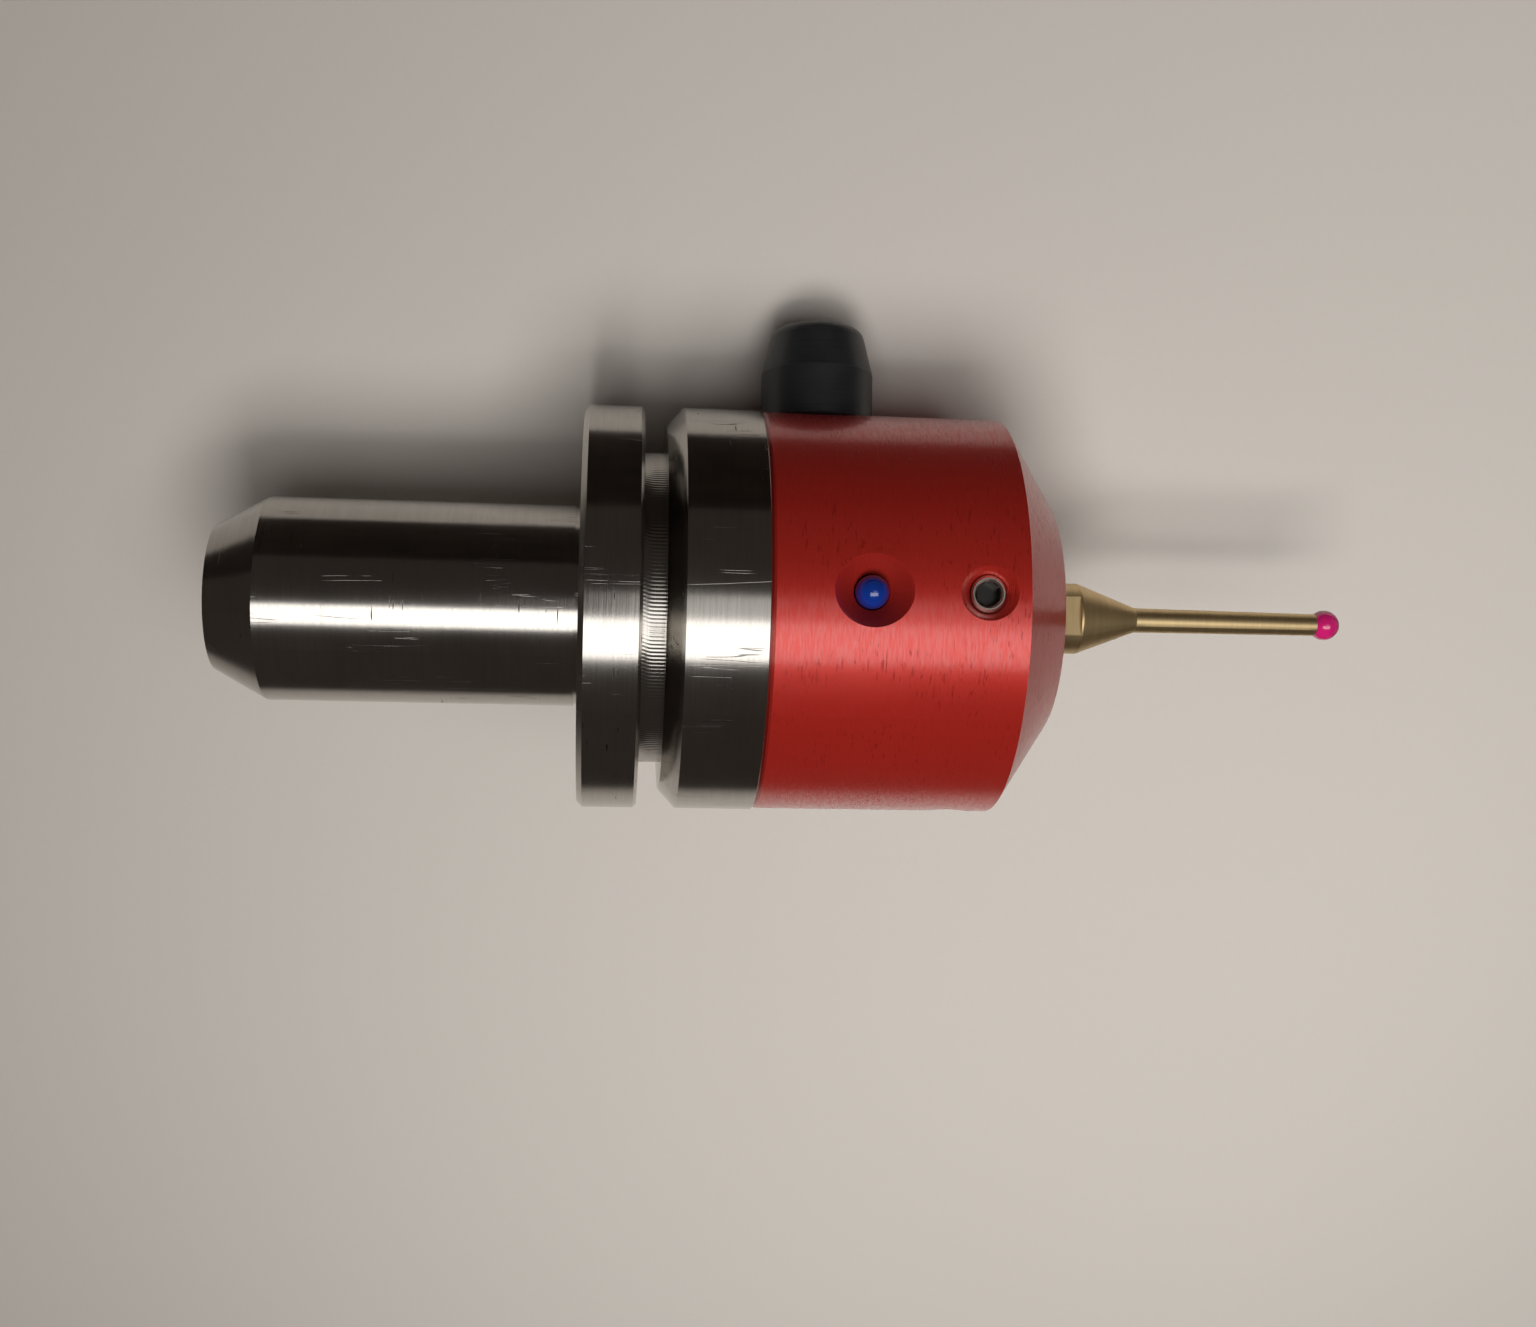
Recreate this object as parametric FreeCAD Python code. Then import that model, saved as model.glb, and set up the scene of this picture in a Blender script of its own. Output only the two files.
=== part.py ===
import FreeCAD, Part
import math
import os

# Edge finder: a touch probe with a straight shank, a gripper groove, a red nose
# housing, an indicator light, a jack socket and a stylus with a ruby ball.
#
# All lengths are in millimetres. The probe's axis is the X axis. X runs from the
# end face of the shank, at 0, to the ball. The probe lies on its side on the
# plane z = -flange_d / 2: on its two flanges and on the edge of its jack boss.

VECTOR = FreeCAD.Vector
AXIS = VECTOR(1, 0, 0)

# Shank and flanges
shank_d = 19.05
shank_length = 33.7
shank_end_d = 13.7
shank_taper_length = 4.8
relief_width = 0.6
relief_depth = 0.15
flange_d = 38.1
rear_flange_width = 5.5
rear_edge_chamfer = 0.5
edge_chamfer = 0.3
groove_width = 2.1
groove_depth = 4.35
groove_bevel_length = 1.6
groove_bevel_depth = 1.75
holder_length = 16.65

# Nose housing
housing_step = 0.1
housing_length = 22.4
cone_length = 5.05
cone_drop = 7.55
aperture_d = 10.8
aperture_chamfer = 0.6
housing_wall = 3.35
housing_edge_chamfer = 0.2
spigot_step = 1.4
spigot_length = 4.0
spigot_chamfer = 0.4
spigot_fit = 0.03
spigot_end_room = 0.3

# Sealing ring in the spigot
ring_groove_width = 1.2
ring_groove_depth = 0.8
ring_setback = 0.8

# Centring screws and the seat ring that they hold
screw_count = 4
screw_d = 3.3
screw_fit = 0.02
screw_setback = 3.7
screw_sunk = 0.5
screw_sink_d = 4.8
screw_edge_chamfer = 0.25
screw_point_d = 1.2
socket_across_flats = 2.0
socket_depth = 1.4
socket_sink_d = 2.6
seat_ring_room = 0.6
seat_ring_bore_d = 12.8
seat_ring_width = 4.8
seat_ring_groove_depth = 1.0
seat_ring_overhang = 1.75

# Kinematic seat: three rods, each on a pair of balls
rod_count = 3
rod_d = 2.0
rod_reach = 12.0
rod_root = 2.9
rod_fit = 0.01
ball_fit = 0.01
rod_first_angle = 0.0
seat_radius = 9.5
seat_ball_d = 3.0
seat_gap = 0.03
seat_contact_angle = 45.0

# Stylus hub, thrust ball, spring cup and spring
hub_d = 10.4
hub_rear_length = 1.8
hub_front_length = 1.5
neck_d = 8.0
neck_length = 7.7
thrust_ball_d = 3.0
thrust_pocket_d = 3.8
thrust_pocket_depth = 1.0
thrust_gap = 0.5
cup_d = 11.2
cup_flange = 1.6
cup_pilot_d = 5.8
cup_pilot_length = 3.2
spring_mean_d = 8.4
spring_wire_d = 0.9
spring_turns = 6.0
preload_thread_d = 6.5
preload_thread_length = 6.0
preload_flange_d = 11.2
preload_flange = 1.4
preload_pilot_length = 3.5
preload_slot_width = 1.0
preload_slot_depth = 1.2
preload_hole_room = 0.8

# Stylus and ball
stylus_d = 6.88
stylus_stub_d = 3.3
stylus_stub_length = 5.0
stylus_collar_length = 7.1
stylus_cone_length = 5.9
stem_root_d = 2.4
stem_tip_d = 2.14
stem_length = 18.35
wrench_flats = 5.8
wrench_flat_length = 3.3
wrench_flat_setback = 0.2
ruby_d = 3.0
ruby_fit = 0.01

# Indicator light
led_offset = 8.65
led_d = 3.0
led_hole_d = 3.2
led_sink_d = 6.4
led_below_surface = 0.1
led_body_length = 4.3
led_flange_d = 3.8
led_flange = 1.0
led_leg_d = 0.5
led_leg_pitch = 2.0
led_leg_turn = 1.4

# Jack boss, socket and nut
boss_offset = 5.65
boss_d = 10.86
boss_height = 8.8
boss_straight_height = 4.15
boss_taper_angle = 13.5
boss_edge_radius = 1.4
boss_base_chamfer = 0.35
boss_seat_margin = 0.12
boss_stub_d = 8.0
boss_stub_inside = 2.6
boss_stub_fit = 0.02
jack_d = 5.2
jack_bore_d = 3.6
jack_plug_length = 14.0
jack_back_wall = 1.4
jack_mouth_chamfer = 0.35
jack_recess = 0.25
jack_fit = 0.02
lug_width = 1.6
lug_thickness = 0.4
lug_length = 1.8
lug_pitch = 2.6
nut_d = 10.0
nut_width = 1.6
nut_slot_width = 1.2
nut_slot_depth = 0.9

# Circuit board and what is on it
board_clearance = 0.1
board_room = 0.5
board_bore_d = 15.0
board_thickness = 1.0
board_fit = 0.02
standoff_d = 3.6
standoff_inset = 2.2
board_screw_d = 1.6
board_screw_head_d = 3.0
board_screw_head = 1.0
board_screw_grip = 3.0
board_screw_slot_width = 0.5
board_screw_slot_depth = 0.5
board_screw_end_room = 0.5
resistor_d = 1.8
resistor_length = 4.2
resistor_wire_d = 0.5
resistor_span = 6.0
resistor_angle = 150.0
resistor_inset = 4.6
lead_d = 0.8
seat_lead_inset = 1.4
seat_lead_angles = (35.0, 85.0)

# Diameters that follow the flange
groove_d = flange_d - 2 * groove_depth
housing_d = flange_d - 2 * housing_step
nose_face_d = housing_d - 2 * cone_drop
housing_bore_d = housing_d - 2 * housing_wall
spigot_d = housing_bore_d + 2 * spigot_step
seat_ring_d = housing_bore_d - 2 * seat_ring_room
board_d = housing_bore_d - 2 * board_room
standoff_radius = seat_ring_d / 2 - standoff_inset
seat_lead_radius = seat_ring_d / 2 - seat_lead_inset
resistor_radius = housing_bore_d / 2 - resistor_inset

# Places along the axis
gauge_x = shank_length
rear_flange_end_x = gauge_x + rear_flange_width
groove_end_x = rear_flange_end_x + groove_width
bevel_end_x = groove_end_x + groove_bevel_length
joint_x = gauge_x + holder_length
spigot_x = joint_x - spigot_length
socket_floor_x = spigot_x - spigot_end_room
cone_x = joint_x + housing_length
nose_x = cone_x + cone_length
screw_x = cone_x - screw_setback
seat_ring_x = screw_x - seat_ring_overhang
shoulder_x = seat_ring_x + seat_ring_width
boss_x = joint_x + boss_offset
led_x = joint_x + led_offset

seat_reach = (rod_d + seat_ball_d) / 2 + seat_gap
seat_forward = seat_reach * math.cos(math.radians(seat_contact_angle))
seat_aside = seat_reach * math.sin(math.radians(seat_contact_angle))
seat_x = seat_ring_x - seat_forward

hub_x = seat_x - hub_rear_length
neck_x = seat_x + hub_front_length
hub_end_x = neck_x + neck_length
thrust_x = hub_x + thrust_pocket_depth - thrust_gap - thrust_ball_d / 2
cup_end_x = thrust_x - thrust_ball_d / 2 - thrust_gap + thrust_pocket_depth
cup_x = cup_end_x - cup_flange
preload_x = socket_floor_x
preload_flange_x = preload_x + preload_flange
board_x = boss_x + nut_d / 2 + board_clearance
board_end_x = board_x + board_thickness
collar_end_x = hub_end_x + stylus_collar_length
stem_x = collar_end_x + stylus_cone_length
stem_end_x = stem_x + stem_length
ruby_x = stem_end_x + math.sqrt((ruby_d / 2) ** 2 - (stem_tip_d / 2) ** 2)

# Places along the boss's own axis, as distances from the probe's axis
boss_reach = housing_d / 2 + boss_height
boss_straight_reach = housing_d / 2 + boss_straight_height
boss_stub_end = housing_bore_d / 2 - boss_stub_inside
boss_seat = math.sqrt((housing_d / 2) ** 2 - (boss_d / 2 + boss_seat_margin) ** 2)
boss_edge_centre = boss_reach - boss_edge_radius
boss_taper_slope = math.tan(math.radians(boss_taper_angle))
boss_edge_start = boss_edge_centre + boss_edge_radius * math.sin(math.radians(boss_taper_angle))
boss_tip_radius = boss_d / 2 - (boss_edge_start - boss_straight_reach) * boss_taper_slope
boss_face_radius = boss_tip_radius - boss_edge_radius * math.cos(math.radians(boss_taper_angle))
jack_mouth = boss_reach - jack_recess
jack_end = jack_mouth - jack_plug_length - jack_back_wall
nut_seat = math.sqrt((housing_bore_d / 2) ** 2 - (nut_d / 2) ** 2)


def rest_tilt():
    """How far the boss points below the horizontal when its edge meets the ground."""
    reach = math.hypot(boss_edge_centre, boss_face_radius)
    lift = math.asin((flange_d / 2 - boss_edge_radius) / reach)
    return math.degrees(lift - math.atan2(boss_face_radius, boss_edge_centre))


boss_angle = -rest_tilt()
led_angle = boss_angle + 90


def radial(angle):
    """The unit vector away from the axis at an angle from +Y towards +Z."""
    turn = math.radians(angle)
    return VECTOR(0, math.cos(turn), math.sin(turn))


def at(x, radius=0.0, angle=0.0):
    return VECTOR(x, 0, 0) + radial(angle) * radius


def rod_angles():
    return [boss_angle + rod_first_angle + index * 360 / rod_count for index in range(rod_count)]


def between_rods():
    return [angle + 180 / rod_count for angle in rod_angles()]


def turned(outline, axis=AXIS, start=VECTOR(0, 0, 0)):
    """A turned solid from (distance along the axis, radius) points or finished edges."""
    across = VECTOR(0, 0, 1) if axis.isEqual(AXIS, 1e-9) else AXIS
    if isinstance(outline[0], tuple):
        corners = [start + axis * along + across * radius for along, radius in outline]
        face = Part.Face(Part.makePolygon(corners + corners[:1]))
    else:
        face = Part.Face(Part.Wire(outline))
    return face.revolve(start, axis, 360)


def rod(diameter, start, end):
    line = end - start
    return Part.makeCylinder(diameter / 2, line.Length, start, line)


def ball(diameter, centre):
    return Part.makeSphere(diameter / 2, centre)


def tube(outer_d, inner_d, start_x, end_x):
    whole = rod(outer_d, at(start_x), at(end_x))
    return whole.cut(rod(inner_d, at(start_x), at(end_x)))


def block(size, centre, along, across):
    """A box of (along, across, third) lengths about its centre."""
    solid = Part.makeBox(*size, VECTOR(-size[0] / 2, -size[1] / 2, -size[2] / 2))
    third = along.cross(across)
    solid.Placement = FreeCAD.Placement(centre, FreeCAD.Rotation(along, across, third, "XYZ"))
    return solid


def cut_all(solid, tools):
    for tool in tools:
        solid = solid.cut(tool)
    return solid


def joined(solids):
    """One solid from several that touch or overlap."""
    whole = solids[0]
    for solid in solids[1:]:
        whole = whole.fuse(solid)
    return whole.removeSplitter()


def shank_holder():
    """Shank, both flanges and the gripper groove, turned from one bar."""
    flange_r = flange_d / 2
    relief_r = shank_d / 2 - relief_depth
    bore_r = spigot_d / 2 + spigot_fit
    hole_x = preload_x - preload_thread_length - preload_hole_room
    return turned([
        (0, 0),
        (0, shank_end_d / 2),
        (shank_taper_length, shank_d / 2),
        (gauge_x - relief_width, shank_d / 2),
        (gauge_x - relief_width, relief_r),
        (gauge_x, relief_r),
        (gauge_x, flange_r - rear_edge_chamfer),
        (gauge_x + rear_edge_chamfer, flange_r),
        (rear_flange_end_x - edge_chamfer, flange_r),
        (rear_flange_end_x, flange_r - edge_chamfer),
        (rear_flange_end_x, groove_d / 2),
        (groove_end_x, groove_d / 2),
        (groove_end_x, flange_r - groove_bevel_depth),
        (bevel_end_x, flange_r),
        (joint_x - edge_chamfer, flange_r),
        (joint_x, flange_r - edge_chamfer),
        (joint_x, bore_r),
        (socket_floor_x, bore_r),
        (socket_floor_x, preload_thread_d / 2 + screw_fit),
        (hole_x, preload_thread_d / 2 + screw_fit),
        (hole_x, 0),
    ])


def sink(sink_d, hole_d, angle, x):
    """A 90 degree countersink cutter whose rim meets the housing's top line."""
    depth = (sink_d - hole_d) / 2
    surface = housing_d / 2
    rise = surface - math.sqrt(surface ** 2 - (sink_d / 2) ** 2)
    return turned([
        (surface - rise - depth, 0),
        (surface - rise - depth, hole_d / 2),
        (surface + rise, sink_d / 2 + 2 * rise),
        (surface + rise, 0),
    ], radial(angle), at(x))


def screw_angles():
    return [led_angle + index * 360 / screw_count for index in range(screw_count)]


def nose_housing():
    """The red housing: spigot, bored body and coned nose, with its cross holes."""
    outer_r = housing_d / 2
    spigot_r = spigot_d / 2
    ring_x = joint_x - ring_setback - ring_groove_width
    shell = turned([
        (spigot_x, housing_bore_d / 2),
        (spigot_x, spigot_r - spigot_chamfer),
        (spigot_x + spigot_chamfer, spigot_r),
        (ring_x, spigot_r),
        (ring_x, spigot_r - ring_groove_depth),
        (ring_x + ring_groove_width, spigot_r - ring_groove_depth),
        (ring_x + ring_groove_width, spigot_r),
        (joint_x, spigot_r),
        (joint_x, outer_r - housing_edge_chamfer),
        (joint_x + housing_edge_chamfer, outer_r),
        (cone_x, outer_r),
        (nose_x, nose_face_d / 2),
        (nose_x, aperture_d / 2 + aperture_chamfer),
        (nose_x - aperture_chamfer, aperture_d / 2),
        (shoulder_x, aperture_d / 2),
        (shoulder_x, housing_bore_d / 2),
    ])
    beyond_boss = at(boss_x, housing_d, boss_angle)
    tools = [
        rod(led_hole_d, at(led_x), at(led_x, housing_d, led_angle)),
        sink(led_sink_d, led_hole_d, led_angle, led_x),
        rod(boss_d + 2 * boss_seat_margin, at(boss_x, boss_seat, boss_angle), beyond_boss),
        rod(boss_stub_d + 2 * boss_stub_fit, at(boss_x), beyond_boss),
    ]
    for angle in screw_angles():
        start, end = at(screw_x, seat_ring_d / 2, angle), at(screw_x, housing_d, angle)
        tools.append(rod(screw_d + 2 * screw_fit, start, end))
        tools.append(sink(screw_sink_d, screw_d, angle, screw_x))
    return cut_all(shell, tools)


def sealing_ring():
    """The round rubber ring, squeezed between its groove and the holder's bore."""
    middle_x = joint_x - ring_setback - ring_groove_width / 2
    section_r = (ring_groove_depth + spigot_fit) / 2
    return Part.makeTorus(spigot_d / 2 - ring_groove_depth + section_r, section_r, at(middle_x), AXIS)


def hexagon_cutter(across_flats, start, end):
    line = end - start
    side = line.cross(AXIS).normalize() * (across_flats / 2 / math.cos(math.pi / 6))
    corners = []
    for index in range(6):
        corner = FreeCAD.Rotation(line, 60 * index).multVec(side)
        corners.append(start + corner)
    return Part.Face(Part.makePolygon(corners + corners[:1])).extrude(line)


def centring_screws():
    """Cone-point socket screws that bear in the seat ring's groove."""
    radius = screw_d / 2
    top = housing_d / 2 - screw_sunk
    tip = seat_ring_d / 2 - seat_ring_groove_depth + screw_point_d / 2
    screws = []
    for angle in screw_angles():
        body = turned([
            (tip, 0),
            (tip, screw_point_d / 2),
            (tip + radius - screw_point_d / 2, radius),
            (top - screw_edge_chamfer, radius),
            (top, radius - screw_edge_chamfer),
            (top, 0),
        ], radial(angle), at(screw_x))
        mouth = (socket_sink_d - socket_across_flats) / 2
        chamfer = turned([
            (top - mouth, 0),
            (top - mouth, socket_across_flats / 2),
            (top, socket_sink_d / 2),
            (top, 0),
        ], radial(angle), at(screw_x))
        floor = at(screw_x, top - socket_depth, angle)
        body = body.cut(hexagon_cutter(socket_across_flats, floor, at(screw_x, top, angle)))
        screws.append(body.cut(chamfer))
    return Part.makeCompound(screws)


def seat_ball_centres():
    """The two balls under each rod, one on each side of it."""
    centres = []
    for angle in rod_angles():
        aside = radial(angle).cross(AXIS)
        middle = at(seat_ring_x, seat_radius, angle)
        centres.append(middle + aside * seat_aside)
        centres.append(middle - aside * seat_aside)
    return centres


def seat_ring():
    """The insulating ring that carries the seat balls and the board's pillars."""
    groove_r = seat_ring_d / 2 - seat_ring_groove_depth
    ring = turned([
        (seat_ring_x, seat_ring_bore_d / 2),
        (seat_ring_x, seat_ring_d / 2),
        (screw_x - seat_ring_groove_depth, seat_ring_d / 2),
        (screw_x, groove_r),
        (screw_x + seat_ring_groove_depth, seat_ring_d / 2),
        (shoulder_x, seat_ring_d / 2),
        (shoulder_x, seat_ring_bore_d / 2),
    ])
    tools = [ball(seat_ball_d + 2 * ball_fit, centre) for centre in seat_ball_centres()]
    return cut_all(ring, tools)


def seat_balls():
    return Part.makeCompound([ball(seat_ball_d, centre) for centre in seat_ball_centres()])


def contact_rods():
    rods = []
    for angle in rod_angles():
        rods.append(rod(rod_d, at(seat_x, rod_root, angle), at(seat_x, rod_reach, angle)))
    return Part.makeCompound(rods)


def stylus_hub():
    """The moving hub: a disc for the three rods and a neck for the stylus."""
    pocket_x = hub_x + thrust_pocket_depth
    stub_x = hub_end_x - stylus_stub_length
    hub = turned([
        (pocket_x, 0),
        (pocket_x, thrust_pocket_d / 2),
        (hub_x, thrust_pocket_d / 2),
        (hub_x, hub_d / 2 - edge_chamfer),
        (hub_x + edge_chamfer, hub_d / 2),
        (neck_x, hub_d / 2),
        (neck_x, neck_d / 2),
        (hub_end_x - edge_chamfer, neck_d / 2),
        (hub_end_x, neck_d / 2 - edge_chamfer),
        (hub_end_x, stylus_stub_d / 2 + screw_fit),
        (stub_x, stylus_stub_d / 2 + screw_fit),
        (stub_x, 0),
    ])
    holes = []
    for angle in rod_angles():
        holes.append(rod(rod_d + 2 * rod_fit, at(seat_x, rod_root, angle), at(seat_x, hub_d, angle)))
    return cut_all(hub, holes)


def thrust_ball():
    return ball(thrust_ball_d, at(thrust_x))


def spring_cup():
    """The cup between the spring and the thrust ball."""
    return turned([
        (cup_x - cup_pilot_length, 0),
        (cup_x - cup_pilot_length, cup_pilot_d / 2 - edge_chamfer),
        (cup_x - cup_pilot_length + edge_chamfer, cup_pilot_d / 2),
        (cup_x, cup_pilot_d / 2),
        (cup_x, cup_d / 2),
        (cup_end_x, cup_d / 2),
        (cup_end_x, thrust_pocket_d / 2),
        (cup_end_x - thrust_pocket_depth, thrust_pocket_d / 2),
        (cup_end_x - thrust_pocket_depth, 0),
    ])


def preload_spring():
    """Round wire in half turns. Each is a flat half circle that leans to climb; the end ones lie flat."""
    start_x = preload_flange_x + spring_wire_d / 2
    half_turns = round(2 * spring_turns)
    climb = (cup_x - spring_wire_d / 2 - start_x) / (half_turns - 2)
    coils = []
    x, side = start_x, 1
    for number in range(half_turns):
        rise = 0 if number in (0, half_turns - 1) else climb
        begin, end = at(x, side * spring_mean_d / 2), at(x + rise, -side * spring_mean_d / 2)
        leaning_axis = ((end - begin) * side).cross(radial(90)).normalize()
        section = Part.Face(Part.Wire(Part.makeCircle(spring_wire_d / 2, begin, radial(90))))
        coils.append(section.revolve((begin + end) / 2, leaning_axis, 180))
        x, side = x + rise, -side
    return joined(coils)


def preload_screw():
    """The slotted screw in the holder that sets the spring's force."""
    tip_x = preload_x - preload_thread_length
    pilot_end_x = preload_flange_x + preload_pilot_length
    screw = turned([
        (tip_x, 0),
        (tip_x, preload_thread_d / 2 - edge_chamfer),
        (tip_x + edge_chamfer, preload_thread_d / 2),
        (preload_x, preload_thread_d / 2),
        (preload_x, preload_flange_d / 2),
        (preload_flange_x, preload_flange_d / 2),
        (preload_flange_x, cup_pilot_d / 2),
        (pilot_end_x, cup_pilot_d / 2),
        (pilot_end_x, 0),
    ])
    slot = block((preload_slot_depth, cup_pilot_d, preload_slot_width),
                 at(pilot_end_x - preload_slot_depth / 2), AXIS, radial(0))
    return screw.cut(slot)


def stylus():
    """The brass stylus: threaded stub, collar with two flats, cone and stem."""
    collar_r = stylus_d / 2
    body = turned([
        (hub_end_x - stylus_stub_length, 0),
        (hub_end_x - stylus_stub_length, stylus_stub_d / 2),
        (hub_end_x, stylus_stub_d / 2),
        (hub_end_x, collar_r),
        (collar_end_x, collar_r),
        (stem_x, stem_root_d / 2),
        (stem_end_x, stem_tip_d / 2),
        (stem_end_x, 0),
    ])
    middle_x = collar_end_x - wrench_flat_setback - wrench_flat_length / 2
    margin = collar_r - wrench_flats / 2
    tools = [ball(ruby_d + 2 * ruby_fit, at(ruby_x))]
    for side in (0, 180):
        centre = at(middle_x, wrench_flats / 2 + margin, led_angle + side)
        tools.append(block((wrench_flat_length, 2 * margin, stylus_d), centre, AXIS, radial(led_angle)))
    return cut_all(body, tools)


def ruby_ball():
    return ball(ruby_d, at(ruby_x))


def indicator_led():
    """A domed 3 mm light, its rim and its two legs, which turn to the board."""
    tip = housing_d / 2 - led_below_surface
    shoulder = tip - led_d / 2
    rim_top = tip - led_body_length
    rim_base = rim_top - led_flange
    body = rod(led_d, at(led_x, rim_top, led_angle), at(led_x, shoulder, led_angle))
    rim = rod(led_flange_d, at(led_x, rim_base, led_angle), at(led_x, rim_top, led_angle))
    pieces = [body, rim, ball(led_d, at(led_x, shoulder, led_angle))]
    aside = AXIS.cross(radial(led_angle)) * (led_leg_pitch / 2)
    for side in (1, -1):
        root = at(led_x, rim_base, led_angle) + aside * side
        elbow = at(led_x, rim_base - led_leg_turn, led_angle) + aside * side
        foot = elbow + AXIS * (board_x - led_x)
        pieces += [rod(led_leg_d, root, elbow), ball(led_leg_d, elbow), rod(led_leg_d, elbow, foot)]
    return joined(pieces)


def connector_boss():
    """The turned black boss round the jack, and its threaded stub."""
    out = radial(boss_angle)
    start = at(boss_x)
    taper = math.radians(boss_taper_angle)
    middle = (math.radians(90) - taper) / 2 + taper

    def point(along, radius):
        return start + out * along + AXIS * radius

    rim = point(boss_reach, boss_face_radius)
    rim_middle = point(boss_edge_centre + boss_edge_radius * math.sin(middle),
                       boss_face_radius + boss_edge_radius * math.cos(middle))
    taper_end = point(boss_edge_start, boss_tip_radius)
    outline = [
        point(boss_stub_end, jack_d / 2 + jack_fit),
        point(boss_stub_end, boss_stub_d / 2),
        point(boss_seat, boss_stub_d / 2),
        point(boss_seat, boss_d / 2 - boss_base_chamfer),
        point(boss_seat + boss_base_chamfer, boss_d / 2),
        point(boss_straight_reach, boss_d / 2),
        taper_end,
    ]
    edges = Part.makePolygon(outline).Edges
    edges.append(Part.Arc(taper_end, rim_middle, rim).toShape())
    edges += Part.makePolygon([rim, point(boss_reach, jack_d / 2 + jack_fit), outline[0]]).Edges
    return turned(edges, out, start)


def jack_socket():
    """The jack's sleeve, closed at the back and open at the boss's end."""
    return turned([
        (jack_end, 0),
        (jack_end, jack_d / 2),
        (jack_mouth, jack_d / 2),
        (jack_mouth, jack_bore_d / 2 + jack_mouth_chamfer),
        (jack_mouth - jack_mouth_chamfer, jack_bore_d / 2),
        (jack_mouth - jack_plug_length, jack_bore_d / 2),
        (jack_mouth - jack_plug_length, 0),
    ], radial(boss_angle), at(boss_x))


def lug_middle(side):
    return at(boss_x + side * lug_pitch / 2, jack_end - lug_length / 2, boss_angle)


def jack_lugs():
    """The two solder lugs behind the jack."""
    aside = AXIS.cross(radial(boss_angle))
    lugs = []
    for side in (1, -1):
        size = (lug_length, lug_width, lug_thickness)
        lugs.append(block(size, lug_middle(side), radial(boss_angle), aside))
    return Part.makeCompound(lugs)


def jack_nut():
    """The round slotted nut that holds the boss from inside."""
    inner = nut_seat - nut_width
    out = radial(boss_angle)
    nut = turned([
        (inner, boss_stub_d / 2 + boss_stub_fit),
        (inner, nut_d / 2),
        (nut_seat, nut_d / 2),
        (nut_seat, boss_stub_d / 2 + boss_stub_fit),
    ], out, at(boss_x))
    slot = block((nut_slot_depth, 2 * nut_d, nut_slot_width),
                 at(boss_x, inner + nut_slot_depth / 2, boss_angle), out, AXIS)
    return nut.cut(slot)


def circuit_board():
    board = tube(board_d, board_bore_d, board_x, board_end_x)
    holes = []
    for angle in between_rods():
        centre = at(board_x, standoff_radius, angle)
        holes.append(rod(board_screw_d + 2 * board_fit, centre, centre + AXIS * board_thickness))
    return cut_all(board, holes)


def board_pillars():
    """Tapped pillars that hold the board behind the seat ring."""
    pillars = []
    for angle in between_rods():
        foot = at(board_end_x, standoff_radius, angle)
        whole = rod(standoff_d, foot, at(seat_ring_x, standoff_radius, angle))
        hole = rod(board_screw_d + 2 * board_fit, foot, foot + AXIS * board_screw_grip)
        pillars.append(whole.cut(hole))
    return Part.makeCompound(pillars)


def board_screws():
    screws = []
    for angle in between_rods():
        seat = at(board_x, standoff_radius, angle)
        top = seat - AXIS * board_screw_head
        reach = board_thickness + board_screw_grip - board_screw_end_room
        head = rod(board_screw_head_d, top, seat)
        shaft = rod(board_screw_d, seat, seat + AXIS * reach)
        slot_size = (board_screw_slot_depth, board_screw_head_d, board_screw_slot_width)
        slot = block(slot_size, top + AXIS * (board_screw_slot_depth / 2), AXIS, radial(angle))
        screws.append(joined([head, shaft]).cut(slot))
    return Part.makeCompound(screws)


def series_resistor():
    """The light's series resistor, lying on the rear of the board."""
    angle = boss_angle + resistor_angle
    aside = AXIS.cross(radial(angle))
    middle = at(board_x - resistor_d / 2, resistor_radius, angle)
    half = aside * (resistor_length / 2)
    pieces = [rod(resistor_d, middle - half, middle + half)]
    for side in (1, -1):
        end = middle + aside * (side * resistor_span / 2)
        foot = end + AXIS * (board_x - middle.x)
        pieces += [rod(resistor_wire_d, middle, end), ball(resistor_wire_d, end)]
        pieces.append(rod(resistor_wire_d, end, foot))
    return joined(pieces)


def jack_leads():
    """Two leads that run straight from the jack's lugs to the board."""
    leads = []
    aside = AXIS.cross(radial(boss_angle)) * (lug_width / 2 + lead_d / 2)
    for side in (1, -1):
        start = lug_middle(side) + aside * side
        leads.append(rod(lead_d, start, start + AXIS * (board_x - start.x)))
    return Part.makeCompound(leads)


def seat_leads():
    """Two leads from the board to the balls at the ends of the contact chain."""
    leads = []
    for angle in seat_lead_angles:
        start = at(board_end_x, seat_lead_radius, boss_angle + angle)
        leads.append(rod(lead_d, start, start + AXIS * (seat_ring_x - start.x)))
    return Part.makeCompound(leads)


NODES = {
    "shank_holder": shank_holder,
    "nose_housing": nose_housing,
    "sealing_ring": sealing_ring,
    "centring_screws": centring_screws,
    "seat_ring": seat_ring,
    "seat_balls": seat_balls,
    "indicator_led": indicator_led,
    "connector_boss": connector_boss,
    "jack_socket": jack_socket,
    "jack_lugs": jack_lugs,
    "jack_nut": jack_nut,
    "circuit_board": circuit_board,
    "board_pillars": board_pillars,
    "board_screws": board_screws,
    "series_resistor": series_resistor,
    "jack_leads": jack_leads,
    "seat_leads": seat_leads,
    "preload_screw": preload_screw,
    "preload_spring": preload_spring,
    "spring_cup": spring_cup,
    "thrust_ball": thrust_ball,
    "stylus_hub": stylus_hub,
    "contact_rods": contact_rods,
    "stylus": stylus,
    "ruby_ball": ruby_ball,
}

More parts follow.
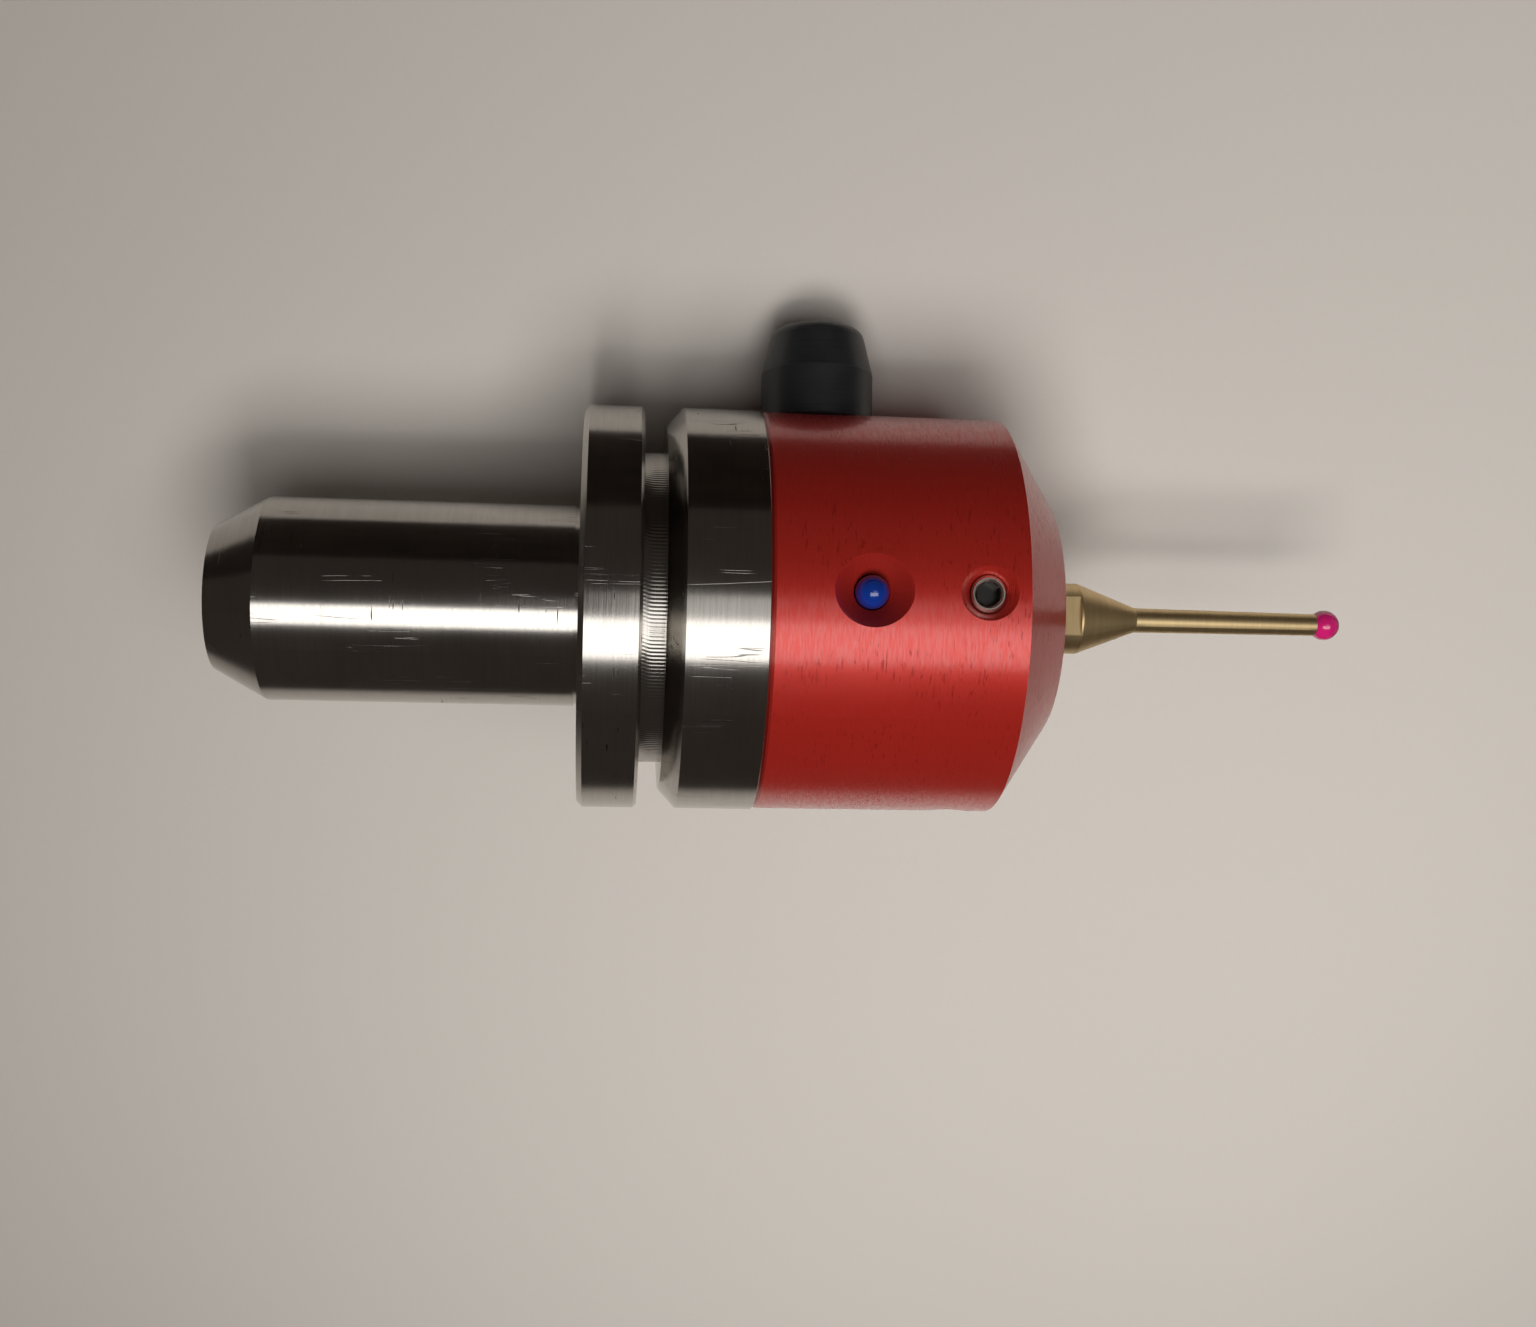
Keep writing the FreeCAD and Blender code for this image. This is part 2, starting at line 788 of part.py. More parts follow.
os.makedirs("parts", exist_ok=True)
for name, make in NODES.items():
    shape = make()
    shape.exportStep("parts/" + name + ".step")
    state = "valid" if shape.isValid() else "INVALID"
    print(name, len(shape.Solids), "solids", round(shape.Volume, 3), "mm3", state)
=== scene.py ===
"""Edge finder: finishes, fine detail and studio around the packed model."""

import math

import bmesh
import bpy
from bpy.props import FloatProperty, FloatVectorProperty, IntProperty, PointerProperty
from mathutils import Matrix, Vector


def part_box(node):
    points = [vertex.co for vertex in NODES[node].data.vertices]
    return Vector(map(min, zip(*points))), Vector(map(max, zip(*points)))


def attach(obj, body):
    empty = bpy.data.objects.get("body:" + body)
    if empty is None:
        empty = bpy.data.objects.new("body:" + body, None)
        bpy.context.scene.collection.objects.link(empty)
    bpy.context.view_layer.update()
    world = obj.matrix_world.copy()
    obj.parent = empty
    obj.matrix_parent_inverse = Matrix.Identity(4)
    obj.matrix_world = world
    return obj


bl_info = {
    "name": "Edge finder finishes",
    "version": (1, 0, 0),
    "blender": (4, 5, 0),
    "location": "3D View > Sidebar > Edge finder",
    "description": "Turned and anodised finishes and a studio for the packed edge finder",
    "category": "Object",
}

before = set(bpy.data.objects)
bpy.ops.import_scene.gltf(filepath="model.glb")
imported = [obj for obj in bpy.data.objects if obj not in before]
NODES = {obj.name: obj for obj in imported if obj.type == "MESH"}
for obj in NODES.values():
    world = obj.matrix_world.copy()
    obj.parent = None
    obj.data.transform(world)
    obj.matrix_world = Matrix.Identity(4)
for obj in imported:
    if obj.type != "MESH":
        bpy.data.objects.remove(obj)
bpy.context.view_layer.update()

BODY = "probe_body"
AXIS = Vector((1, 0, 0))
FLOOR_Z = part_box("shank_holder")[0][2]

# The boss points down and away, and the light and one screw a quarter turn on from it.
BOSS_ANGLE = math.radians(-34.730)
LIGHT_ANGLE = BOSS_ANGLE + math.pi / 2

# Places on the housing where the finish changes and painted shade starts, in metres
CONE_LENGTH = 0.00505
SINK_RADIUS = 0.0032
SINK_DEPTH_FROM_AXIS = (0.012, 0.013)
SOCKET_FLOOR = 0.0184

# Chatter marks in the groove: how finely they are cut, and how they lean near one wall
STEPS_PER_MARK = 6
MARK_STATIONS = 9
MARK_MARGIN = 0.01
MARK_FOOT = 0.3
MARK_LEAN = 0.055
MARK_LEAN_END = 0.34

# How deep the fine marks of each finish are, in metres
TURNING_DEPTH = 0.000004
ANODISED_DEPTH = 0.000024
MOULDED_DEPTH = 0.000006
LAMINATE_DEPTH = 0.00001

# Colours of the pieces that hardly show
NICKEL = (0.62, 0.60, 0.56)
TIN = (0.60, 0.59, 0.57)
YELLOW_BRASS = (0.62, 0.45, 0.20)
GROUND_STEEL = (0.55, 0.54, 0.52)
SPRING_STEEL = (0.42, 0.41, 0.40)
BLACK_RUBBER = (0.014, 0.014, 0.014)
CREAM = (0.66, 0.60, 0.47)
BOARD_GREEN = (0.012, 0.11, 0.045)
LACQUER = (0.50, 0.38, 0.22)
LEAD_RED = (0.34, 0.012, 0.010)

# The window's two panes: name, place along the axis, angle round it, width and height
PANES = (("window", 0.12, 78.5, (0.58, 0.235)),
         ("upper pane", 0.185, 60.6, (0.29, 0.143)))
PANE_DISTANCE = 0.60
DESK_LAMP_PLACE = Vector((0.06, -0.03, 0.26))
DESK_LAMP_TARGET = Vector((0.20, -0.16, FLOOR_Z))
DESK_LAMP_SIZE = (0.13, 0.13)
DESK_LAMP_SPREAD = math.radians(140.0)

# The reflection cards stand on the floor and meet at one corner, seen from above. Seen only in
# reflections, they are painted reflections: darker sheets that stand in for the room's shade.
CARD_CORNER = (0.136, 0.034)
CARD_TOP = 0.012
CARDS = (("dark card", (-0.25, 0.034), CARD_CORNER, (0.060, 0.046, 0.038)),
         ("grey card", CARD_CORNER, (0.136, -0.20), (0.30, 0.27, 0.25)))

TABLE_CENTRE_X = 0.055
SENSOR_WIDTH = 36.0
NEAREST_VIEW = 0.005


def radial(angle):
    """The direction square to the axis at this angle, from +Y towards +Z."""
    return Vector((0, math.cos(angle), math.sin(angle)))


def at(x, radius, angle):
    """The point at this place along the axis, radius and angle."""
    return AXIS * x + radial(angle) * radius


# --- Sizes and colours -------------------------------------------------------


def length(name, description, default):
    return FloatProperty(name=name, description=description, default=default, min=0.0,
                         precision=5, subtype="DISTANCE", unit="LENGTH")


def degrees(name, description, default):
    return FloatProperty(name=name, description=description, default=math.radians(default),
                         subtype="ANGLE", unit="ROTATION")


def colour(name, description, default):
    return FloatVectorProperty(name=name, description=description, default=default, size=3,
                               min=0.0, max=1.0, subtype="COLOR")


def share(name, description, default):
    return FloatProperty(name=name, description=description, default=default, min=0.0, max=1.0,
                         subtype="FACTOR")


def watts(name, description, default):
    return FloatProperty(name=name, description=description, default=default, min=0.0,
                         precision=3, subtype="POWER", unit="POWER")


class SteelSettings(bpy.types.PropertyGroup):
    """Holder: bright turned steel with chatter marks in the groove"""
    tint: colour("Steel", "Colour of the bright turned steel", (0.47, 0.45, 0.42))
    roughness: share("Roughness", "Roughness of the turned faces", 0.16)
    ridge_count: IntProperty(name="Chatter marks", description="Marks round the groove's floor",
                             default=265, min=8)
    ridge_height: length("Mark height", "How far the chatter marks stand up", 0.00002)
    groove_start: length("Groove start", "Where the groove's floor starts along the axis", 0.0392)
    groove_width: length("Groove width", "Width of the groove's floor", 0.0021)
    groove_radius: length("Groove radius", "Radius of the groove's floor", 0.0147)


class NoseSettings(bpy.types.PropertyGroup):
    """Nose: red anodised housing, grub screws and light"""
    tint: colour("Anodising", "Colour of the red anodising", (0.50, 0.024, 0.016))
    roughness: share("Roughness", "Roughness of the anodised faces", 0.36)
    lens: colour("Light", "Colour of the light's lens", (0.002, 0.030, 0.25))
    screw: colour("Screws", "Colour of the grub screws", (0.66, 0.64, 0.60))


class BossSettings(bpy.types.PropertyGroup):
    """Boss: black turned plastic round the jack"""
    tint: colour("Plastic", "Colour of the black plastic", (0.0150, 0.0160, 0.0178))
    roughness: share("Roughness", "Roughness of the turned plastic", 0.40)


class StylusSettings(bpy.types.PropertyGroup):
    """Stylus: turned brass with a ruby ball"""
    tint: colour("Brass", "Colour of the brass", (0.80, 0.61, 0.33))
    roughness: share("Roughness", "Roughness of the turned brass", 0.46)
    ruby: colour("Ruby", "Colour of the ball", (0.60, 0.012, 0.16))


class StudioSettings(bpy.types.PropertyGroup):
    """Table, lamps and camera"""
    floor: colour("Table", "Colour of the table", (0.63, 0.59, 0.55))
    floor_size: length("Table size", "Side of the table", 1.6)
    surroundings: colour("Surroundings", "Colour of the room", (0.043, 0.035, 0.030))
    lamplight: colour("Lamplight", "Colour of the lamps", (1.0, 0.985, 0.96))
    window_power: watts("Window", "Power of the window", 1.25)
    pane_power: watts("Upper pane", "Power of the window's upper pane", 0.105)
    desk_power: watts("Desk lamp", "Power of the desk lamp", 0.41)
    lens: FloatProperty(name="Lens", description="Focal length", default=39.43, min=1.0,
                        subtype="DISTANCE_CAMERA")
    distance: length("Distance", "From the probe's axis to the camera", 0.1616)
    station: length("Station", "Where the camera stands along the axis", 0.03649)
    bearing: degrees("Bearing", "Angle of the camera round the axis, from +Y towards +Z", 61.47)
    yaw: degrees("Yaw", "Turn of the camera to the side", 5.380)
    pitch: degrees("Pitch", "Turn of the camera up", 1.790)
    roll: degrees("Roll", "Turn of the camera about its own line of sight", -1.485)


# --- Shader maths ------------------------------------------------------------


class Field:
    """A socket's value over a surface. Arithmetic on it adds Math nodes."""

    def __init__(self, finish, socket):
        self.finish = finish
        self.socket = socket

    def math(self, operation, *values):
        return self.finish.node("ShaderNodeMath", {"operation": operation}, dict(enumerate(values)))

    def __add__(self, other):
        return self.math("ADD", self, other)

    __radd__ = __add__

    def __sub__(self, other):
        return self.math("SUBTRACT", self, other)

    def __rsub__(self, other):
        return self.math("SUBTRACT", other, self)

    def __mul__(self, other):
        return self.math("MULTIPLY", self, other)

    __rmul__ = __mul__

    def __abs__(self):
        return self.math("ABSOLUTE", self)

    def larger(self, other):
        """The larger of the two at each spot."""
        return self.math("MAXIMUM", self, other)

    def between(self, low, high):
        """0 below low, 1 above high, smooth between. High may be the lower one."""
        return self.finish.node("ShaderNodeMapRange", {"interpolation_type": "SMOOTHSTEP"},
                                {"Value": self, "From Min": low, "From Max": high})


class Finish:
    """A material under construction: its nodes, its object coordinates and its surface."""

    def __init__(self, name):
        self.material = bpy.data.materials.new(name)
        self.material.use_nodes = True
        self.tree = self.material.node_tree
        self.surface = self.tree.nodes["Principled BSDF"]
        self.place = self.node("ShaderNodeTexCoord", output="Object")

    def node(self, kind, settings=None, inputs=None, output=0):
        """Adds a node: first its settings, then its sockets' values or links."""
        node = self.tree.nodes.new(kind)
        for key, value in (settings or {}).items():
            setattr(node, key, value)
        for key, value in (inputs or {}).items():
            self.feed(node.inputs[key], value)
        return Field(self, node.outputs[output])

    def feed(self, socket, value):
        """Links a field to a socket or sets a plain value on it. Three numbers make a colour."""
        if isinstance(value, Field):
            self.tree.links.new(value.socket, socket)
        elif hasattr(socket.default_value, "__len__") and len(socket.default_value) == 4:
            socket.default_value = (*value, 1.0)
        else:
            socket.default_value = value

    def along(self, direction):
        """Distance along a direction, in metres."""
        return self.node("ShaderNodeVectorMath", {"operation": "DOT_PRODUCT"},
                         {0: self.place, 1: direction}, "Value")

    def grain(self, along, across, detail=2.0, offset=(0, 0, 0)):
        """Noise with so many cells a metre along the probe's axis and across it."""
        spot = self.node("ShaderNodeVectorMath", {"operation": "MULTIPLY_ADD"},
                         {0: self.place, 1: (along, across, across), 2: offset})
        return self.node("ShaderNodeTexNoise", None,
                         {"Vector": spot, "Scale": 1.0, "Detail": detail, "Roughness": 0.55})

    def rings(self, direction, cells, detail=3.0):
        """Turning marks: noise that changes along one direction only, so many cells a metre."""
        return self.node("ShaderNodeTexNoise", {"noise_dimensions": "1D"},
                         {"W": self.along(direction) * cells, "Scale": 1.0, "Detail": detail,
                          "Roughness": 0.6})

    def mix(self, factor, first, second):
        """Colour between two colours, by the Mix node's sockets for colours."""
        return self.node("ShaderNodeMix", {"data_type": "RGBA"},
                         {0: factor, 6: first, 7: second}, 2)

    def bump(self, height, depth):
        """A normal from a height field that is this deep, in metres."""
        return self.node("ShaderNodeBump", None,
                         {"Strength": 1.0, "Distance": depth, "Height": height})

    def set(self, **sockets):
        """Feeds the surface's sockets, named with underscores for spaces."""
        for key, value in sockets.items():
            self.feed(self.surface.inputs[key.replace("_", " ")], value)


def shade(tint, factor):
    """A colour made lighter or darker."""
    return tuple(channel * factor for channel in tint)


# --- Finishes ----------------------------------------------------------------


def turned_metal(name, tint, roughness, direction=AXIS, fine=9000.0, marks=1.0, worn=False,
                 painted_shade_below=None):
    """Metal off a lathe: rings round a direction, so fine and with marks so deep, and faint
    smudges. Worn adds scratches and pits. Nearer to the probe's axis than the radius given for
    painted shade, the colour is darkened: painted shade at the bottom of a socket."""
    f = Finish(name)
    ring = f.rings(direction, fine)
    broad = f.rings(direction, fine / 14, 1.0)
    streak = f.grain(fine * 0.5, 160.0)
    smudge = f.grain(90.0, 110.0, 3.0, (3.1, 0.7, 1.9))
    wear = streak.between(0.25, 0.8) * 0.5 + smudge.between(0.35, 0.7) * 0.5
    base = f.mix(wear, shade(tint, 0.86), shade(tint, 1.08))
    height = ring * 0.5 + broad * 0.5 + streak * 0.6
    rough = ring * 0.10 + smudge * 0.08 + (roughness - 0.09)
    if worn:
        pit = f.grain(5200.0, 420.0, 1.0, (0.3, 5.0, 2.0)).between(0.70, 0.76)
        pit = pit * f.grain(120.0, 110.0, 1.0).between(0.50, 0.62)
        scratch = abs(f.grain(55.0, 1500.0, 1.0, (8.0, 2.0, 6.0)) - 0.5).between(0.012, 0.002)
        scratch = scratch * f.grain(160.0, 420.0, 1.0, (2.0, 9.0, 4.0)).between(0.58, 0.66)
        mark = pit.larger(scratch * 0.7)
        base = f.mix(mark, base, shade(tint, 0.16))
        height = height - mark * 1.6
        rough = rough + mark * 0.2
    # Painted shade: nearer the axis than the given radius the colour is darkened, as shade falls at
    # the bottom of the screws' sockets.
    if painted_shade_below:
        y, z = f.along((0, 1, 0)), f.along((0, 0, 1))
        deep = (y * y + z * z).between(painted_shade_below ** 2, (painted_shade_below - 0.0002) ** 2)
        base = f.mix(deep, base, shade(tint, 0.12))
    f.set(Base_Color=base, Metallic=1.0, Roughness=rough,
          Normal=f.bump(height, TURNING_DEPTH * marks))
    return f.material


def countersink(f):
    """1 in the countersink round the light, found from the light's own axis."""
    low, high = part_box("indicator_led")
    out = radial(LIGHT_ANGLE)
    ahead = f.along(AXIS) - (low[0] + high[0]) / 2
    aside = f.along(AXIS.cross(out))
    inside = (ahead * ahead + aside * aside).between((SINK_RADIUS + 0.00005) ** 2,
                                                     (SINK_RADIUS - 0.00005) ** 2)
    return inside * f.along(out).between(*SINK_DEPTH_FROM_AXIS)


def anodised(name, tint, roughness):
    """Dyed anodising over turned aluminium: fine tool marks and short pits under a glossy skin,
    duller on the nose's cone and in the light's countersink, and darker there by painted shade."""
    f = Finish(name)
    ring = f.rings(AXIS, 7000.0)
    score = f.grain(6200.0, 700.0, 2.0, (0.3, 5.0, 2.0))
    cloud = f.grain(70.0, 80.0, 3.0, (1.0, 2.0, 3.0))
    pit = f.grain(6000.0, 900.0, 1.0, (4.1, 0.2, 1.0)).between(0.64, 0.72)
    pit = pit * f.grain(150.0, 160.0, 1.0).between(0.40, 0.60)
    sunk = countersink(f)
    cone_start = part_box("nose_housing")[1][0] - CONE_LENGTH
    cone = f.along(AXIS).between(cone_start - 0.00005, cone_start + 0.00015)
    # The cone and the countersink: a duller gloss, and painted shade in their colour.
    dull_and_painted_shade = sunk.larger(cone * 0.45)
    base = f.mix(ring * 0.4 + cloud * 0.6, shade(tint, 0.90), shade(tint, 1.10))
    base = f.mix(pit * 0.30, base, shade(tint, 0.25))
    # Painted shade: the cone and the countersink darkened in the colour.
    base = f.mix(dull_and_painted_shade, base, shade(tint, 0.50))
    brushed = score.between(0.36, 0.62) * 0.45 + 0.62
    f.set(Base_Color=base, Metallic=0.5 - sunk * 0.5, Specular_IOR_Level=0.2,
          Roughness=score * 0.14 + cloud * 0.06 + (roughness - 0.10) + sunk * 0.2,
          Coat_Weight=brushed * (1.0 - pit * 0.7) * (1.0 - dull_and_painted_shade * 0.85),
          Coat_Roughness=0.19, Coat_IOR=1.55,
          Normal=f.bump(ring * 0.15 + score * 0.8 - pit, ANODISED_DEPTH))
    return f.material


def plastic(name, tint, roughness, direction=None, mottle=0.25, coat=0.0):
    """Plastic, rubber or enamel: mottled a little, with turning marks where it was turned."""
    f = Finish(name)
    cloud = f.grain(260.0, 260.0, 3.0)
    dust = f.grain(3100.0, 3100.0, 1.0).between(0.60, 0.80)
    height = cloud * 0.4 + dust * 0.4
    if direction is not None:
        ring = f.rings(direction, 5200.0)
        height = height + ring
        cloud = cloud * 0.5 + ring * 0.5
    f.set(Base_Color=f.mix(cloud.between(0.3, 0.7), shade(tint, 1 - mottle),
                           shade(tint, 1 + mottle)),
          Roughness=cloud * 0.16 + dust * 0.1 + (roughness - 0.08),
          Coat_Weight=coat, Coat_Roughness=0.06, Normal=f.bump(height, MOULDED_DEPTH))
    return f.material


def resin(name, tint, roughness):
    """Tinted resin or stone: deep colour under a polished skin, with painted shade at the rim that
    follows the view angle.
    """
    f = Finish(name)
    cloud = f.grain(700.0, 700.0)
    # Painted shade: the colour is darkened where the surface turns away from the view.
    painted_rim_shade = f.node("ShaderNodeLayerWeight", None, {"Blend": 0.35}, "Facing")
    deep = f.mix(cloud.between(0.3, 0.7), shade(tint, 0.85), shade(tint, 1.1))
    f.set(Base_Color=f.mix(painted_rim_shade.between(0.2, 1.0), deep, shade(tint, 0.5)),
          Roughness=cloud * 0.05 + (roughness - 0.02), Coat_Weight=1.0, Coat_Roughness=0.03)
    return f.material


def table_top(name, tint):
    """Matt laminate: nearly even, with a faint mottle."""
    f = Finish(name)
    cloud = f.grain(9.0, 9.0)
    fine = f.grain(1400.0, 1400.0)
    f.set(Base_Color=f.mix(cloud * 0.6 + fine * 0.4, shade(tint, 0.965), shade(tint, 1.03)),
          Roughness=fine * 0.1 + 0.55, Specular_IOR_Level=0.3,
          Normal=f.bump(fine, LAMINATE_DEPTH))
    return f.material


# --- Pieces ------------------------------------------------------------------


def place_in_scene(name, data):
    """A new object in the scene."""
    thing = bpy.data.objects.new(name, data)
    bpy.context.scene.collection.objects.link(thing)
    return thing


def dress(node, material):
    """Puts a finish in every material slot of a CAD node."""
    piece = NODES[node]
    slots = piece.material_slots
    if not slots:
        piece.data.materials.append(material)
    for slot in slots:
        slot.material = material


def mesh_piece(name, build, material):
    """A smooth piece that the function build makes in a bmesh."""
    mesh = bpy.data.meshes.new(name)
    work = bmesh.new()
    build(work)
    bmesh.ops.recalc_face_normals(work, faces=work.faces)
    work.to_mesh(mesh)
    work.free()
    mesh.shade_smooth()
    mesh.materials.append(material)
    piece = place_in_scene(name, mesh)
    return piece


class FINDER_OT_steel(bpy.types.Operator):
    """Finish the holder and cut the chatter marks in its groove"""
    bl_idname = "finder.steel"
    bl_label = "Steel holder"

    def execute(self, context):
        s = context.scene.finder_steel
        dress("shank_holder", turned_metal("bright turned steel", s.tint, s.roughness, worn=True))
        groove = turned_metal("groove steel", shade(s.tint, 0.9), s.roughness + 0.06)

        def marks(work):
            """A sleeve on the groove's floor, whose radius rises and falls with the marks."""
            steps = s.ridge_count * STEPS_PER_MARK
            turns = [2 * math.pi * step / steps for step in range(steps)]
            rows = []
            for station in range(MARK_STATIONS):
                across = station / (MARK_STATIONS - 1)
                x = s.groove_start + s.groove_width * (MARK_MARGIN + (1 - 2 * MARK_MARGIN) * across)
                lean = max(0.0, MARK_LEAN_END - across) * MARK_LEAN
                row = []
                for turn in turns:
                    wave = 0.5 * (1 + math.sin(s.ridge_count * (turn + lean)))
                    radius = s.groove_radius + s.ridge_height * (MARK_FOOT + wave)
                    row.append(work.verts.new(at(x, radius, turn)))
                rows.append(row)
            for near, far in zip(rows, rows[1:]):
                for step in range(steps):
                    after = (step + 1) % steps
                    work.faces.new((near[step], near[after], far[after], far[step]))

        piece = mesh_piece("groove_chatter", marks, groove)
        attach(piece, BODY)
        return {"FINISHED"}


class FINDER_OT_nose(bpy.types.Operator):
    """Finish the red housing, its screws and its light"""
    bl_idname = "finder.nose"
    bl_label = "Red nose"

    def execute(self, context):
        s = context.scene.finder_nose
        dress("nose_housing", anodised("red anodising", s.tint, s.roughness))
        # The screws' sockets get painted shade in their colour, nearer the axis than SOCKET_FLOOR.
        dress("centring_screws", turned_metal("screw steel", s.screw, 0.30, fine=3000.0,
                                              painted_shade_below=SOCKET_FLOOR))
        dress("indicator_led", resin("blue lens", s.lens, 0.12))
        return {"FINISHED"}


class FINDER_OT_boss(bpy.types.Operator):
    """Finish the black boss and the jack in it"""
    bl_idname = "finder.boss"
    bl_label = "Jack boss"

    def execute(self, context):
        s = context.scene.finder_boss
        out = radial(BOSS_ANGLE)
        dress("connector_boss", plastic("black turned plastic", s.tint, s.roughness, out, 0.3))
        dress("jack_socket", turned_metal("nickel plate", NICKEL, 0.2, out, 4000.0))
        dress("jack_lugs", turned_metal("tinned lugs", TIN, 0.3, out, 2500.0))
        dress("jack_nut", turned_metal("brass nut", YELLOW_BRASS, 0.3, out, 3000.0))
        return {"FINISHED"}


class FINDER_OT_stylus(bpy.types.Operator):
    """Finish the brass stylus and the ruby ball"""
    bl_idname = "finder.stylus"
    bl_label = "Stylus"

    def execute(self, context):
        s = context.scene.finder_stylus
        dress("stylus", turned_metal("turned brass", s.tint, s.roughness, fine=7000.0, marks=1.6))
        dress("ruby_ball", resin("ruby", s.ruby, 0.08))
        return {"FINISHED"}


class FINDER_OT_works(bpy.types.Operator):
    """Finish the pieces inside the housing"""
    bl_idname = "finder.works"
    bl_label = "Inner works"

    def execute(self, context):
        finishes = (
            (turned_metal("ground steel", GROUND_STEEL, 0.22),
             ("stylus_hub", "contact_rods", "thrust_ball", "seat_balls", "spring_cup",
              "preload_screw", "board_screws")),
            (turned_metal("spring wire", SPRING_STEEL, 0.3, fine=2500.0), ("preload_spring",)),
            (plastic("black rubber", BLACK_RUBBER, 0.6), ("sealing_ring",)),
            (plastic("cream plastic", CREAM, 0.45, AXIS, 0.08), ("seat_ring",)),
            (plastic("green solder mask", BOARD_GREEN, 0.35, mottle=0.2), ("circuit_board",)),
            (turned_metal("brass pillars", YELLOW_BRASS, 0.3), ("board_pillars",)),
            (plastic("lacquered body", LACQUER, 0.35, coat=0.5), ("series_resistor",)),
            (plastic("red lead", LEAD_RED, 0.42), ("jack_leads", "seat_leads")),
        )
        for finish, nodes in finishes:
            for node in nodes:
                dress(node, finish)
        return {"FINISHED"}


